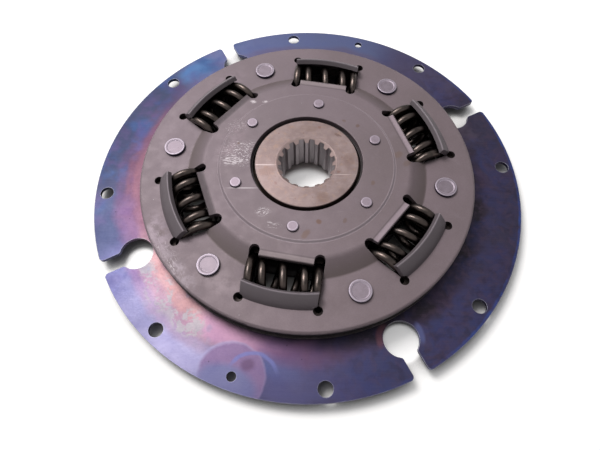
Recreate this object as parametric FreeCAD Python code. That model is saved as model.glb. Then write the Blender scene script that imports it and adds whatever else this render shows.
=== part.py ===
import FreeCAD, Part
import math
import os

# Damper disc between an engine flywheel and a hydraulic pump shaft.
# All sizes are in millimetres. The disc lies flat with its front face up. Its axis is Z, and Z = 0 is
# the plane of the rear rivet heads that it rests on.
# Every piece is first built about the middle plane of the hub flange and lifted into place at the end.
# A piece that lies in a spring window is drawn with x pointing outwards through the window, y along it
# and z forwards, and is then turned to its window.

# Drive plate, bolted to the flywheel
drive_plate_diameter = 352.0
drive_plate_thickness = 3.0
bolt_edge_distance = 9.3125
bolt_count = 8
bolt_hole_diameter = 10.8
first_bolt_angle = 22.5
dowel_hole_diameter = 6.8
dowel_angles = (90.0, 270.0)
keyhole_count = 4
first_keyhole_angle = 45.0
keyhole_rim_gap = 2.0
keyhole_radius = 13.0
keyhole_slot_width = 12.0
keyhole_corner_radius = 3.0
lug_reach = 12.6
scallop_margin = 4.3
scallop_corner_radius = 5.0

# Side plates, two equal pressings that face each other
side_plate_thickness = 4.2
side_plate_bore_gap = 3.3
rim_width = 16.14
rim_edge_radius = 3.0
slope_width = 13.2
shelf_rise = 7.15
step_outer_radius = 70.0
step_width = 1.5
centre_rise = 1.7
foot_bend_radius = 3.0
crest_bend_radius = 8.0
step_bend_radius = 1.0
bore_edge_radius = 0.5

# Spring windows
window_count = 6
first_window_angle = 38.0
window_length = 55.8
outer_lip_end_gap = 0.5
outer_lip_clearance = 0.85
outer_lip_drop = 1.2
outer_lip_end_angle = 57.2
inner_fold_setback = 1.2
inner_lip_length = 40.0
inner_lip_root = 2.4
inner_lip_overhang = 3.7
inner_lip_lift = 0.65
inner_lip_clearance = 0.45
inner_lip_bend_radius = 4.0
lip_edge_radius = 0.8
relief_hole_radius = 3.5
relief_hole_offset = 0.4
relief_hole_outset = 0.6

# Coil springs
spring_circle_radius = 95.2
spring_outer_diameter = 33.6
wire_diameter = 6.0
open_turns = 2.6
end_turns = 1.3
end_coil_gap = 0.9
ground_allowance = 1.2

# Splined hub with its flange
hub_length = 35.2
hub_diameter = 82.0
hub_edge_radius = 0.6
flange_rim_width = 8.87
flange_thickness = 9.5
flange_edge_radius = 0.5
flange_side_clearance = 0.5
hub_window_end_clearance = 0.2
hub_window_side_clearance = 0.6
hub_window_relief_radius = 2.5
spline_teeth = 16
spline_major_diameter = 45.5
spline_tooth_height = 2.25
spline_tip_width = 2.6
spline_root_width = 4.9
spline_angle = 17.7
bore_chamfer = 1.15

# Stop rivets, which hold the plates together and limit the twist of the hub
rivet_circle_offset = 15.0
rivet_shank_diameter = 10.0
rivet_body_diameter = 14.0
rivet_head_diameter = 16.8
rivet_head_height = 2.5
rivet_head_edge_radius = 0.6
rivet_dish_rim = 1.9
rivet_dish_depth = 0.6
hub_twist_limit = 6.0
stop_clearance = 0.3

# Friction pack between each side plate and the hub flange
small_rivet_edge_distance = 6.74
small_rivet_shank_diameter = 5.0
small_rivet_head_diameter = 8.95
small_rivet_head_height = 1.7
small_rivet_head_edge_radius = 1.0
small_rivet_tail_diameter = 8.0
rivet_fit_clearance = 0.05
thrust_ring_bore_gap = 2.0
thrust_ring_inset = 3.5
thrust_ring_thickness = 4.0
friction_washer_width = 18.91
friction_washer_thickness = 2.5
friction_washer_fit_clearance = 0.09
disc_spring_bore_gap = 3.2
disc_spring_width = 12.8
disc_spring_thickness = 1.6

# Heights above the middle plane of the flange
flange_top = flange_thickness / 2
plate_inner = flange_top + flange_side_clearance
plate_outer = plate_inner + side_plate_thickness
shelf_inner = plate_inner + shelf_rise
shelf_outer = plate_outer + shelf_rise
centre_outer = shelf_outer + centre_rise
centre_inner = centre_outer - side_plate_thickness
ring_inner = centre_inner - thrust_ring_thickness
washer_outer = flange_top + friction_washer_thickness
rest_plane = centre_outer + small_rivet_head_height

# Springs and their windows
window_half = window_length / 2
coil_radius = (spring_outer_diameter - wire_diameter) / 2
spring_radius = spring_outer_diameter / 2
end_coil_place = window_half - wire_diameter / 2
# The windows curve round the axis and the springs are straight, so the last coils come nearest to the lips.
spring_reach = math.hypot(spring_circle_radius + spring_radius, end_coil_place)
outer_lip_half = window_half - outer_lip_end_gap
outer_lip_inner_radius = spring_reach - spring_circle_radius + outer_lip_clearance
outer_lip_outer_radius = outer_lip_inner_radius + side_plate_thickness
outer_fold_radius = spring_circle_radius + math.sqrt(
    outer_lip_outer_radius ** 2 - (plate_outer + outer_lip_drop) ** 2
)
shelf_outer_radius = spring_circle_radius - slope_width
inner_fold_radius = shelf_outer_radius - inner_fold_setback
notch_radius = (window_length - inner_lip_length) / 4
notch_place = inner_lip_length / 2 + notch_radius
relief_place = window_half + relief_hole_offset
relief_centre = math.sqrt((outer_fold_radius + relief_hole_outset) ** 2 - relief_place ** 2)

# Plates, hub and rivets round them
hub_radius = hub_diameter / 2
hub_window_outer_radius = spring_reach + outer_lip_clearance
flange_radius = hub_window_outer_radius + flange_rim_width
side_plate_radius = outer_fold_radius + rim_width
side_plate_bore_radius = hub_radius + side_plate_bore_gap
step_inner_radius = step_outer_radius - step_width
thrust_ring_radius = step_inner_radius - thrust_ring_inset
small_rivet_circle_radius = thrust_ring_radius - small_rivet_edge_distance
rivet_circle_radius = spring_circle_radius + rivet_circle_offset
lug_inner_radius = rivet_circle_radius - lug_reach
keyhole_circle_radius = side_plate_radius + keyhole_rim_gap + keyhole_radius
drive_plate_radius = drive_plate_diameter / 2
bolt_circle_radius = drive_plate_radius - bolt_edge_distance
first_rivet_angle = first_window_angle - 180.0 / window_count

z_axis = FreeCAD.Vector(0, 0, 1)
origin = FreeCAD.Vector(0, 0, 0)
tall = 4 * centre_outer


def vec(x, y, z=0.0):
    return FreeCAD.Vector(x, y, z)


def spaced_angles(first, count):
    return [first + 360.0 / count * k for k in range(count)]


def cylinder(radius, x=0.0, y=0.0, low=-tall, high=tall):
    return Part.makeCylinder(radius, high - low, vec(x, y, low), z_axis)


def block(x0, x1, y_half, low=-tall, high=tall):
    return Part.makeBox(x1 - x0, 2 * y_half, high - low, vec(x0, -y_half, low))


def turned(shape, angle):
    copy = shape.copy()
    copy.rotate(origin, z_axis, angle)
    return copy


def repeated(shape, angles):
    """One copy of the shape at each angle, fused into one cutter or pad."""
    copies = [turned(shape, angle) for angle in angles]
    return copies[0].multiFuse(copies[1:])


def rounded_outline(corners):
    """Closed outline in the XZ plane through (x, z, radius) corners.

    A radius is held back where the sides beside it are too short for it.
    """
    count = len(corners)
    places = [vec(x, 0, z) for x, z, radius in corners]
    starts, ends, middles = [], [], []
    for k, (x, z, radius) in enumerate(corners):
        here = places[k]
        back = places[k - 1] - here
        ahead = places[(k + 1) % count] - here
        shorter = 0.48 * min(back.Length, ahead.Length)
        half_angle = back.getAngle(ahead) / 2
        reach = min(radius / math.tan(half_angle), shorter) if radius else 0.0
        back.normalize()
        ahead.normalize()
        starts.append(here + back * reach)
        ends.append(here + ahead * reach)
        bisector = back + ahead
        if reach > 1e-6:
            bisector.normalize()
            fitted = reach * math.tan(half_angle)
            middles.append(here + bisector * (fitted / math.sin(half_angle) - fitted))
        else:
            middles.append(None)
    edges = []
    for k in range(count):
        if middles[k]:
            edges.append(Part.Arc(starts[k], middles[k], ends[k]).toShape())
        following = starts[(k + 1) % count]
        if (following - ends[k]).Length > 1e-6:
            edges.append(Part.LineSegment(ends[k], following).toShape())
    return Part.Wire(edges)


def revolved(corners, angle=360.0):
    """Solid of revolution about Z, centred on the XZ plane if it is less than a full turn."""
    solid = Part.Face(rounded_outline(corners)).revolve(origin, z_axis, angle)
    return turned(solid, -angle / 2) if angle < 360 else solid


def sheet_section(corners, thickness):
    """Section of a pressed sheet from its outer face, given as (radius, height, bend radius) corners.

    The inner face lies one thickness below, so its corners move along their mitres.
    """
    inner = []
    for k, (x, z, bend) in enumerate(corners):
        if k in (0, len(corners) - 1):
            inner.append((x, z - thickness, 0.0))
            continue
        x0, z0 = corners[k - 1][:2]
        x1, z1 = corners[k + 1][:2]
        before = math.atan2(z - z0, x - x0)
        after = math.atan2(z1 - z, x1 - x)
        turn = math.atan2(math.sin(after - before), math.cos(after - before))
        middle = before + turn / 2 + math.pi / 2
        length = thickness / math.cos(turn / 2)
        bend_inner = bend + thickness if turn < 0 else max(bend - thickness, 0.4)
        inner.append((x + length * math.cos(middle), z + length * math.sin(middle), bend_inner))
    return corners + inner[::-1]


def drive_plate():
    low = -plate_outer - drive_plate_thickness
    high = -plate_outer
    plate = cylinder(drive_plate_radius, low=low, high=high)

    # Lugs reach in to the stop rivets, and scallops between them clear the rear window lips.
    scallop_radius = outer_fold_radius + scallop_margin
    scallop_half = relief_place + relief_hole_radius
    window_angles = spaced_angles(first_window_angle, window_count)
    scallop = block(0.5 * lug_inner_radius, scallop_radius, scallop_half, low, high)
    scallop = scallop.common(cylinder(scallop_radius))
    opening = cylinder(lug_inner_radius, low=low, high=high).fuse(repeated(scallop, window_angles))
    plate = rounded_cut(plate, opening, scallop_corner_radius, lug_inner_radius - 1, scallop_radius + 1)

    keyhole = cylinder(keyhole_radius, keyhole_circle_radius, low=low, high=high)
    slot = block(keyhole_circle_radius, drive_plate_diameter, keyhole_slot_width / 2, low, high)
    keyhole = keyhole.fuse(slot)
    keyholes = repeated(keyhole, spaced_angles(first_keyhole_angle, keyhole_count))
    neck = keyhole_circle_radius - keyhole_radius / 2
    plate = rounded_cut(plate, keyholes, keyhole_corner_radius, neck, drive_plate_radius + 1)

    bolt = cylinder(bolt_hole_diameter / 2, bolt_circle_radius)
    dowel = cylinder(dowel_hole_diameter / 2, bolt_circle_radius)
    return plate.cut([
        repeated(bolt, spaced_angles(first_bolt_angle, bolt_count)),
        repeated(dowel, dowel_angles),
        repeated(stop_rivet_hole(), spaced_angles(first_rivet_angle, window_count)),
    ])


def stop_rivet_hole():
    return cylinder(rivet_shank_diameter / 2 + rivet_fit_clearance, rivet_circle_radius)


def rounded_cut(plate, cutter, corner_radius, near, far):
    """Cut through a flat plate, then round the upright edges that lie between two distances from the axis."""
    plate = plate.cut(cutter)
    corners = []
    for edge in plate.Edges:
        ends = [vertex.Point for vertex in edge.Vertexes]
        upright = len(ends) == 2 and (ends[0] - ends[1]).cross(z_axis).Length < 1e-6
        if upright and near < math.hypot(ends[0].x, ends[0].y) < far and is_corner(plate, edge):
            corners.append(edge)
    return plate.makeFillet(corner_radius, corners)


def is_corner(plate, edge):
    """True where the two faces beside an upright edge meet at an angle, so that it isn't a mere seam."""
    place = edge.Vertexes[0].Point
    normals = []
    for face in plate.ancestorsOfType(edge, Part.Face):
        u, v = face.Surface.parameter(place)
        normals.append(face.normalAt(u, v))
    return len(normals) == 2 and normals[0].getAngle(normals[1]) > math.radians(5)


def window_cutter():
    """Through cut of one side plate window, with the notches beside its inner lip."""
    window = block(inner_fold_radius - 1, outer_fold_radius, window_half)
    cutter = window.common(cylinder(outer_fold_radius))
    for side in (-1, 1):
        cutter = cutter.fuse(cylinder(notch_radius, inner_fold_radius - 1, side * notch_place))
    return cutter


def relief_cutter():
    """Relief holes at both ends of an outer fold, which were punched before the lip was bent up."""
    holes = []
    for side in (-1, 1):
        place = side * relief_place
        holes.append(cylinder(relief_hole_radius, relief_centre, place, high=plate_outer))
        holes.append(Part.makeSphere(relief_hole_radius, vec(relief_centre, place, plate_outer)))
    return holes[0].multiFuse(holes[1:])


def outer_lip():
    """Lip that wraps over the spring from the outer edge of the window."""
    inner, outer = outer_lip_inner_radius, outer_lip_outer_radius
    end = math.radians(outer_lip_end_angle)
    foot_inner = math.asin((plate_inner + outer_lip_drop) / inner)
    foot_outer = math.asin((plate_outer + outer_lip_drop) / outer)

    def at(radius, angle):
        x = spring_circle_radius + radius * math.cos(angle)
        return vec(x, 0, radius * math.sin(angle) - outer_lip_drop)

    joint = outer_fold_radius + 1
    inner_arc = Part.Arc(at(inner, foot_inner), at(inner, (foot_inner + end) / 2), at(inner, end))
    outer_arc = Part.Arc(at(outer, end), at(outer, (foot_outer + end) / 2), at(outer, foot_outer))
    edges = [
        inner_arc.toShape(),
        Part.LineSegment(at(inner, end), at(outer, end)).toShape(),
        outer_arc.toShape(),
        Part.LineSegment(at(outer, foot_outer), vec(joint, 0, plate_outer)).toShape(),
        Part.LineSegment(vec(joint, 0, plate_outer), vec(joint, 0, plate_inner)).toShape(),
        Part.LineSegment(vec(joint, 0, plate_inner), at(inner, foot_inner)).toShape(),
    ]
    spread = 3 * math.degrees(outer_lip_half / spring_circle_radius)
    lip = Part.Face(Part.Wire(edges)).revolve(origin, z_axis, spread)
    lip = turned(lip, -spread / 2)
    return lip.common(block(0, 2 * outer_fold_radius, outer_lip_half))


def inner_lip():
    """Straight lip that holds the spring from the inner edge of the window."""
    tip = inner_fold_radius + inner_lip_overhang
    across = spring_circle_radius - tip
    underside = math.sqrt((spring_radius + inner_lip_clearance) ** 2 - across ** 2)
    root = inner_fold_radius - inner_lip_root
    section = rounded_outline([
        (root, shelf_outer, 0.0),
        (inner_fold_radius, shelf_outer, inner_lip_bend_radius),
        (tip, shelf_outer + inner_lip_lift, lip_edge_radius),
        (tip, underside, lip_edge_radius),
        (inner_fold_radius, shelf_inner, inner_lip_bend_radius),
        (root, shelf_inner, 0.0),
    ])
    lip = Part.Face(section).extrude(vec(0, inner_lip_length, 0))
    lip.translate(vec(0, -inner_lip_length / 2, 0))
    return lip


def side_plate():
    section = sheet_section([
        (side_plate_radius, plate_outer, rim_edge_radius),
        (spring_circle_radius, plate_outer, foot_bend_radius),
        (shelf_outer_radius, shelf_outer, crest_bend_radius),
        (step_outer_radius, shelf_outer, step_bend_radius),
        (step_inner_radius, centre_outer, step_bend_radius),
        (side_plate_bore_radius, centre_outer, bore_edge_radius),
    ], side_plate_thickness)
    window_angles = spaced_angles(first_window_angle, window_count)
    lips = outer_lip().fuse(inner_lip())
    plate = revolved(section).cut(repeated(window_cutter(), window_angles))
    plate = plate.fuse(repeated(lips, window_angles))
    small_hole = cylinder(small_rivet_shank_diameter / 2 + rivet_fit_clearance, small_rivet_circle_radius)
    plate = plate.cut([
        repeated(relief_cutter(), window_angles),
        repeated(stop_rivet_hole(), spaced_angles(first_rivet_angle, window_count)),
        repeated(small_hole, window_angles),
    ])
    return plate.removeSplitter()


def spline_outline():
    """Toothed outline of the bore. A tooth of the hub stands inwards from the major to the minor circle."""
    root_radius = spline_major_diameter / 2
    tip_radius = root_radius - spline_tooth_height
    root_half = math.asin(spline_root_width / 2 / root_radius)
    tip_half = math.asin(spline_tip_width / 2 / tip_radius)
    pitch = 2 * math.pi / spline_teeth

    def at(radius, angle):
        return vec(radius * math.cos(angle), radius * math.sin(angle))

    edges = []
    for tooth in range(spline_teeth):
        middle = math.radians(spline_angle) + tooth * pitch
        foot_in, tip_in = at(root_radius, middle - root_half), at(tip_radius, middle - tip_half)
        tip_out, foot_out = at(tip_radius, middle + tip_half), at(root_radius, middle + root_half)
        next_foot = at(root_radius, middle + pitch - root_half)
        edges.append(Part.LineSegment(foot_in, tip_in).toShape())
        edges.append(Part.Arc(tip_in, at(tip_radius, middle), tip_out).toShape())
        edges.append(Part.LineSegment(tip_out, foot_out).toShape())
        edges.append(Part.Arc(foot_out, at(root_radius, middle + pitch / 2), next_foot).toShape())
    return Part.Wire(edges)


def hub():
    half = hub_length / 2
    body = revolved([
        (0, half, 0.0),
        (hub_radius, half, hub_edge_radius),
        (hub_radius, flange_top, 0.0),
        (flange_radius, flange_top, flange_edge_radius),
        (flange_radius, -flange_top, flange_edge_radius),
        (hub_radius, -flange_top, 0.0),
        (hub_radius, -half, hub_edge_radius),
        (0, -half, 0.0),
    ])

    bore = Part.Face(spline_outline()).extrude(vec(0, 0, hub_length))
    bore.translate(vec(0, 0, -half))
    mouth = spline_major_diameter / 2 + bore_chamfer
    depth = bore_chamfer + 2 * spline_tooth_height
    front_mouth = Part.makeCone(mouth - depth, mouth, depth, vec(0, 0, half - depth), z_axis)
    rear_mouth = Part.makeCone(mouth, mouth - depth, depth, vec(0, 0, -half), z_axis)

    # The windows let the springs pass, with a relief in each corner.
    window_end = window_half + hub_window_end_clearance
    window_inner = spring_circle_radius - spring_radius - hub_window_side_clearance
    window = block(window_inner, hub_window_outer_radius, window_end)
    window = window.common(cylinder(hub_window_outer_radius))
    outer_corner = math.sqrt(hub_window_outer_radius ** 2 - window_end ** 2)
    for side in (-1, 1):
        inner_relief = cylinder(hub_window_relief_radius, window_inner, side * window_end)
        outer_relief = cylinder(hub_window_relief_radius, outer_corner, side * window_end)
        window = window.fuse([inner_relief, outer_relief])

    # The slots let the hub twist until their ends meet the stop rivets.
    slot_half = rivet_body_diameter / 2 + stop_clearance
    slot = cylinder(rivet_circle_radius + slot_half).cut(cylinder(rivet_circle_radius - slot_half))
    sector = Part.makeCylinder(
        2 * rivet_circle_radius, 2 * tall, vec(0, 0, -tall), z_axis, 2 * hub_twist_limit
    )
    slot = slot.common(turned(sector, -hub_twist_limit))
    for side in (-1, 1):
        slot = slot.fuse(turned(cylinder(slot_half, rivet_circle_radius), side * hub_twist_limit))

    return body.cut([
        bore,
        front_mouth,
        rear_mouth,
        repeated(window, spaced_angles(first_window_angle, window_count)),
        repeated(slot, spaced_angles(first_rivet_angle, window_count)),
    ])


def coil_spring():
    """Right-hand coil spring with closed ends, ground flat to the length of the window."""
    end_pitch = wire_diameter + end_coil_gap
    open_half = window_half + ground_allowance - end_turns * end_pitch
    open_pitch = open_half / (open_turns / 2)
    points_per_turn = 10
    steps = round((open_turns / 2 + end_turns) * points_per_turn)
    path = []
    for step in range(-steps, steps + 1):
        turns = step / points_per_turn
        closed = max(abs(turns) - open_turns / 2, 0.0)
        along = (abs(turns) - closed) * open_pitch + closed * end_pitch
        angle = math.pi / 2 - 2 * math.pi * turns
        across = spring_circle_radius + coil_radius * math.cos(angle)
        path.append(vec(across, math.copysign(along, turns), coil_radius * math.sin(angle)))
    curve = Part.BSplineCurve()
    curve.interpolate(path)
    start = curve.value(curve.FirstParameter)
    heading = curve.tangent(curve.FirstParameter)[0]
    section = Part.Wire(Part.makeCircle(wire_diameter / 2, start, heading))
    coil = Part.Wire(curve.toShape()).makePipeShell([section], True, True)
    return coil.common(block(0, 2 * spring_circle_radius, window_half))


def stop_rivet():
    """Stepped rivet: its thick middle spaces the side plates and runs in a slot of the hub flange."""
    shank = rivet_shank_diameter / 2
    body = rivet_body_diameter / 2
    head = rivet_head_diameter / 2
    dish = head - rivet_dish_rim
    front = plate_outer + rivet_head_height
    rear_seat = -plate_outer - drive_plate_thickness
    rear = rear_seat - rivet_head_height
    rivet = revolved([
        (0, front - rivet_dish_depth, 0.0),
        (dish - rivet_dish_depth, front - rivet_dish_depth, 0.0),
        (dish, front, 0.0),
        (head, front, rivet_head_edge_radius),
        (head, plate_outer, 0.0),
        (shank, plate_outer, 0.0),
        (shank, plate_inner, 0.0),
        (body, plate_inner, 0.0),
        (body, -plate_inner, 0.0),
        (shank, -plate_inner, 0.0),
        (shank, rear_seat, 0.0),
        (head, rear_seat, 0.0),
        (head, rear, rivet_head_edge_radius),
        (dish, rear, 0.0),
        (dish - rivet_dish_depth, rear + rivet_dish_depth, 0.0),
        (0, rear + rivet_dish_depth, 0.0),
    ])
    rivet.translate(vec(rivet_circle_radius, 0))
    return rivet


def small_rivet():
    """Rivet that holds a thrust ring inside its side plate, with a countersunk tail in the ring."""
    shank = small_rivet_shank_diameter / 2
    head = small_rivet_head_diameter / 2
    tail = small_rivet_tail_diameter / 2
    rivet = revolved([
        (0, rest_plane, 0.0),
        (head, rest_plane, small_rivet_head_edge_radius),
        (head, centre_outer, 0.0),
        (shank, centre_outer, 0.0),
        (shank, ring_inner + tail - shank, 0.0),
        (tail, ring_inner, 0.0),
        (0, ring_inner, 0.0),
    ])
    rivet.translate(vec(small_rivet_circle_radius, 0))
    return rivet


def thrust_ring():
    ring = cylinder(thrust_ring_radius, low=ring_inner, high=centre_inner)
    ring = ring.cut(cylinder(hub_radius + thrust_ring_bore_gap))
    shank = small_rivet_shank_diameter / 2 + rivet_fit_clearance
    tail = small_rivet_tail_diameter / 2 + rivet_fit_clearance
    sink = Part.makeCone(tail, shank, tail - shank, vec(small_rivet_circle_radius, 0, ring_inner), z_axis)
    hole = cylinder(shank, small_rivet_circle_radius).fuse(sink)
    return ring.cut(repeated(hole, spaced_angles(first_window_angle, window_count)))


def disc_spring():
    """Coned washer that presses the friction washer on the flange and bears on the thrust ring."""
    inner = hub_radius + disc_spring_bore_gap
    outer = inner + disc_spring_width
    return revolved([
        (outer, washer_outer, 0.0),
        (outer, washer_outer + disc_spring_thickness, 0.0),
        (inner, ring_inner, 0.0),
        (inner, ring_inner - disc_spring_thickness, 0.0),
    ])


def friction_washer():
    bore = hub_radius + friction_washer_fit_clearance
    washer = cylinder(bore + friction_washer_width, low=flange_top, high=washer_outer)
    return washer.cut(cylinder(bore))


def save(name, shape, rear=False):
    """Write one piece. A rear piece is the front one mirrored in the middle plane of the flange."""
    piece = shape.mirror(origin, z_axis) if rear else shape.copy()
    piece.translate(vec(0, 0, rest_plane))
    if piece.ShapeType != "Solid":
        piece = piece.Solids[0]
    piece.exportStep("parts/" + name + ".step")


def main():
    os.makedirs("parts", exist_ok=True)
    save("drive_plate", drive_plate())
    save("hub", hub())

    pairs = {
        "side_plate": side_plate(),
        "thrust_ring": thrust_ring(),
        "disc_spring": disc_spring(),
        "friction_washer": friction_washer(),
    }
    for name, shape in pairs.items():
        save("front_" + name, shape)
        save("rear_" + name, shape, rear=True)

    spring = coil_spring()
    small = small_rivet()
    for number, angle in enumerate(spaced_angles(first_window_angle, window_count), 1):
        save(f"coil_spring_{number}", turned(spring, angle))
        save(f"front_small_rivet_{number}", turned(small, angle))
        save(f"rear_small_rivet_{number}", turned(small, angle), rear=True)

    stop = stop_rivet()
    for number, angle in enumerate(spaced_angles(first_rivet_angle, window_count), 1):
        save(f"stop_rivet_{number}", turned(stop, angle))


main()
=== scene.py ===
import math

import bpy
from mathutils import Matrix, Vector


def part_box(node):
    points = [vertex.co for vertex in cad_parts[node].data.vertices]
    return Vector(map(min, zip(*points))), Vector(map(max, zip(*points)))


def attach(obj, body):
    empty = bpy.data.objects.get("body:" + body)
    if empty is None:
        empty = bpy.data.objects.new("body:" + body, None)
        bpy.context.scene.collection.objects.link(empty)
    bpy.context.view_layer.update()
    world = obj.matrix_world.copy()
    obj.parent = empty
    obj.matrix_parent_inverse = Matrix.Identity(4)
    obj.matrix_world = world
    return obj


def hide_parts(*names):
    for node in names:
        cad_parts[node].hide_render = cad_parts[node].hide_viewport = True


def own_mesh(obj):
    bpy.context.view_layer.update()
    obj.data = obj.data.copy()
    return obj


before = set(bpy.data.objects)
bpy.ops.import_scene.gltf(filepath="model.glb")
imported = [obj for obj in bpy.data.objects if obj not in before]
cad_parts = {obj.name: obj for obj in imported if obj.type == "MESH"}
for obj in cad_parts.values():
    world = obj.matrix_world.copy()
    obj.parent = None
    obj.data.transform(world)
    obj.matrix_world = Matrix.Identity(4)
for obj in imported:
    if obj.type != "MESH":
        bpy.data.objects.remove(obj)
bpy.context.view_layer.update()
print("damper disc loaded,", len(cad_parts), "pieces of metal")

discMiddle = 20.0  # middle plane of the hub flange, mm above the floor
nodeGap = 190  # between nodes in the shader editor


def tint(red, green, blue):
    # screen colour 0-255 to the linear colour that a shader takes
    def linear(value):
        value = value / 255
        return value / 12.92 if value <= 0.04045 else ((value + 0.055) / 1.055) ** 2.4
    return (linear(red), linear(green), linear(blue), 1.0)


def addNode(tree, kind, feeds=None, **settings):
    made = tree.nodes.new("ShaderNode" + kind)
    made.location = (len(tree.nodes) * nodeGap, 0)
    for name, value in settings.items():
        setattr(made, name, value)
    for socket, value in (feeds or {}).items():
        if isinstance(value, bpy.types.NodeSocket):
            tree.links.new(value, made.inputs[socket])
        else:
            made.inputs[socket].default_value = value
    return made


def calc(tree, operation, first, second=0.0, clamp=False, third=0.0):
    feeds = {0: first, 1: second, 2: third}
    return addNode(tree, "Math", feeds, operation=operation, use_clamp=clamp).outputs[0]


def times(tree, first, second):
    return calc(tree, "MULTIPLY", first, second)


def offBy(tree, value, middle):
    return calc(tree, "ABSOLUTE", calc(tree, "SUBTRACT", value, middle))


def vector(tree, operation, first, second=None):
    feeds = {0: first} if second is None else {0: first, 1: second}
    return addNode(tree, "VectorMath", feeds, operation=operation).outputs


def ramp(tree, value, low, high, toLow=0.0, toHigh=1.0):
    feeds = {"Value": value, "From Min": low, "From Max": high, "To Min": toLow, "To Max": toHigh}
    return addNode(tree, "MapRange", feeds, interpolation_type="SMOOTHSTEP").outputs["Result"]


def softEdge(tree, value, limit, soft):
    # 1 well below the limit, 0 well above it
    return ramp(tree, value, times(tree, limit, 1 + soft), times(tree, limit, 1 - soft))


def layer(tree, share, under, over, mode="MIX"):
    # one colour laid over another
    mixer = addNode(tree, "Mix", {0: share, 6: under, 7: over}, data_type="RGBA", blend_type=mode)
    return mixer.outputs[2]


def noise(tree, place, size, detail=3.0, rough=0.5):
    # size is in mm, because place is
    feeds = {"Vector": place, "Scale": 1 / size, "Detail": detail, "Roughness": rough}
    return addNode(tree, "TexNoise", feeds).outputs


def startGroup(name, takes, gives):
    group = bpy.data.node_groups.new(name, "ShaderNodeTree")
    for label, kind, value in takes:
        socket = group.interface.new_socket(name=label, in_out="INPUT", socket_type="NodeSocket" + kind)
        if value is not None:
            socket.default_value = value
    for label, kind in gives:
        group.interface.new_socket(name=label, in_out="OUTPUT", socket_type="NodeSocket" + kind)
    start = group.nodes.new("NodeGroupInput")
    end = group.nodes.new("NodeGroupOutput")
    return group, start.outputs, end.inputs


def endGroup(group, end, **gives):
    for name, value in gives.items():
        group.links.new(value, end[name])
    return group


def useGroup(tree, group, feeds=None, label=""):
    return addNode(tree, "Group", feeds, node_tree=group, label=label).outputs


# camera, at the photo's viewing angle
photoCamera = {
    "turn": 17.7,  # degrees that the photo's upright is turned on the disc
    "plateTop": 0.01055,  # the camera is measured from here
    "back": 0.2007,
    "up": 0.3195,
    "pitch": 63.63,
    "yaw": -1.79,
    "roll": -1.18,
    "lens": 26.736,
    "sensor": 36.0,
}


def setCamera():
    pitch, yaw, roll = (math.radians(photoCamera[name]) for name in ("pitch", "yaw", "roll"))
    look = Vector((math.sin(yaw) * math.cos(pitch), math.cos(yaw) * math.cos(pitch), -math.sin(pitch)))
    right = Vector((math.cos(yaw), -math.sin(yaw), 0))
    upright = right.cross(look)
    side = math.cos(roll) * right + math.sin(roll) * upright
    top = math.cos(roll) * upright - math.sin(roll) * right
    turned = Matrix.Rotation(math.radians(photoCamera["turn"]), 4, "Z")
    place = Vector((0, -photoCamera["back"], photoCamera["up"]))
    axes = Matrix((side, top, -look)).transposed().to_4x4()
    data = bpy.data.cameras.new("photoView")
    data.lens = photoCamera["lens"]
    data.sensor_width = photoCamera["sensor"]
    data.sensor_fit = "HORIZONTAL"
    data.clip_start = 0.01
    data.clip_end = 50
    holder = bpy.data.objects.new("photoView", data)
    lift = Matrix.Translation((0, 0, photoCamera["plateTop"]))
    holder.matrix_world = lift @ turned @ Matrix.Translation(place) @ axes
    bpy.context.scene.collection.objects.link(holder)
    bpy.context.scene.camera = holder


setCamera()
bpy.context.scene.view_settings.view_transform = "Standard"
print("camera set")


# floor, air and lamps
studio = {
    "floorSize": 8.0,
    "floorTint": (252, 252, 252),
    "paintedShadeTint": (84, 82, 82),  # painted shade of the floor close to the disc
    "floorLift": 0.34,  # white added to the open floor that the camera sees, none by the disc
    "paintedLightSpots": [
        # painted light: floor seen through the bore, the left keyhole and the lower one, kept bright
        {"at": (0.003, -0.009), "near": 0.019, "far": 0.039},
        {"at": (-0.103, -0.108), "near": 0.008, "far": 0.019},
        {"at": (0.107, -0.106), "near": 0.011, "far": 0.02},
    ],
    "airLight": 0.13,  # soft light from all round
    "airShine": 0.62,  # the same, as polished metal mirrors it
    "lamps": {
        # direction in degrees on the disc, height angle, distance, size, watts, tint
        "window": {"turn": 158, "rise": 60, "far": 1.7, "size": 1.7, "watts": 13, "tint": (255, 253, 251)},
        "softbox": {"turn": 156, "rise": 59, "far": 1.5, "size": 0.56, "watts": 14, "tint": (255, 252, 250)},
    },
}


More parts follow.
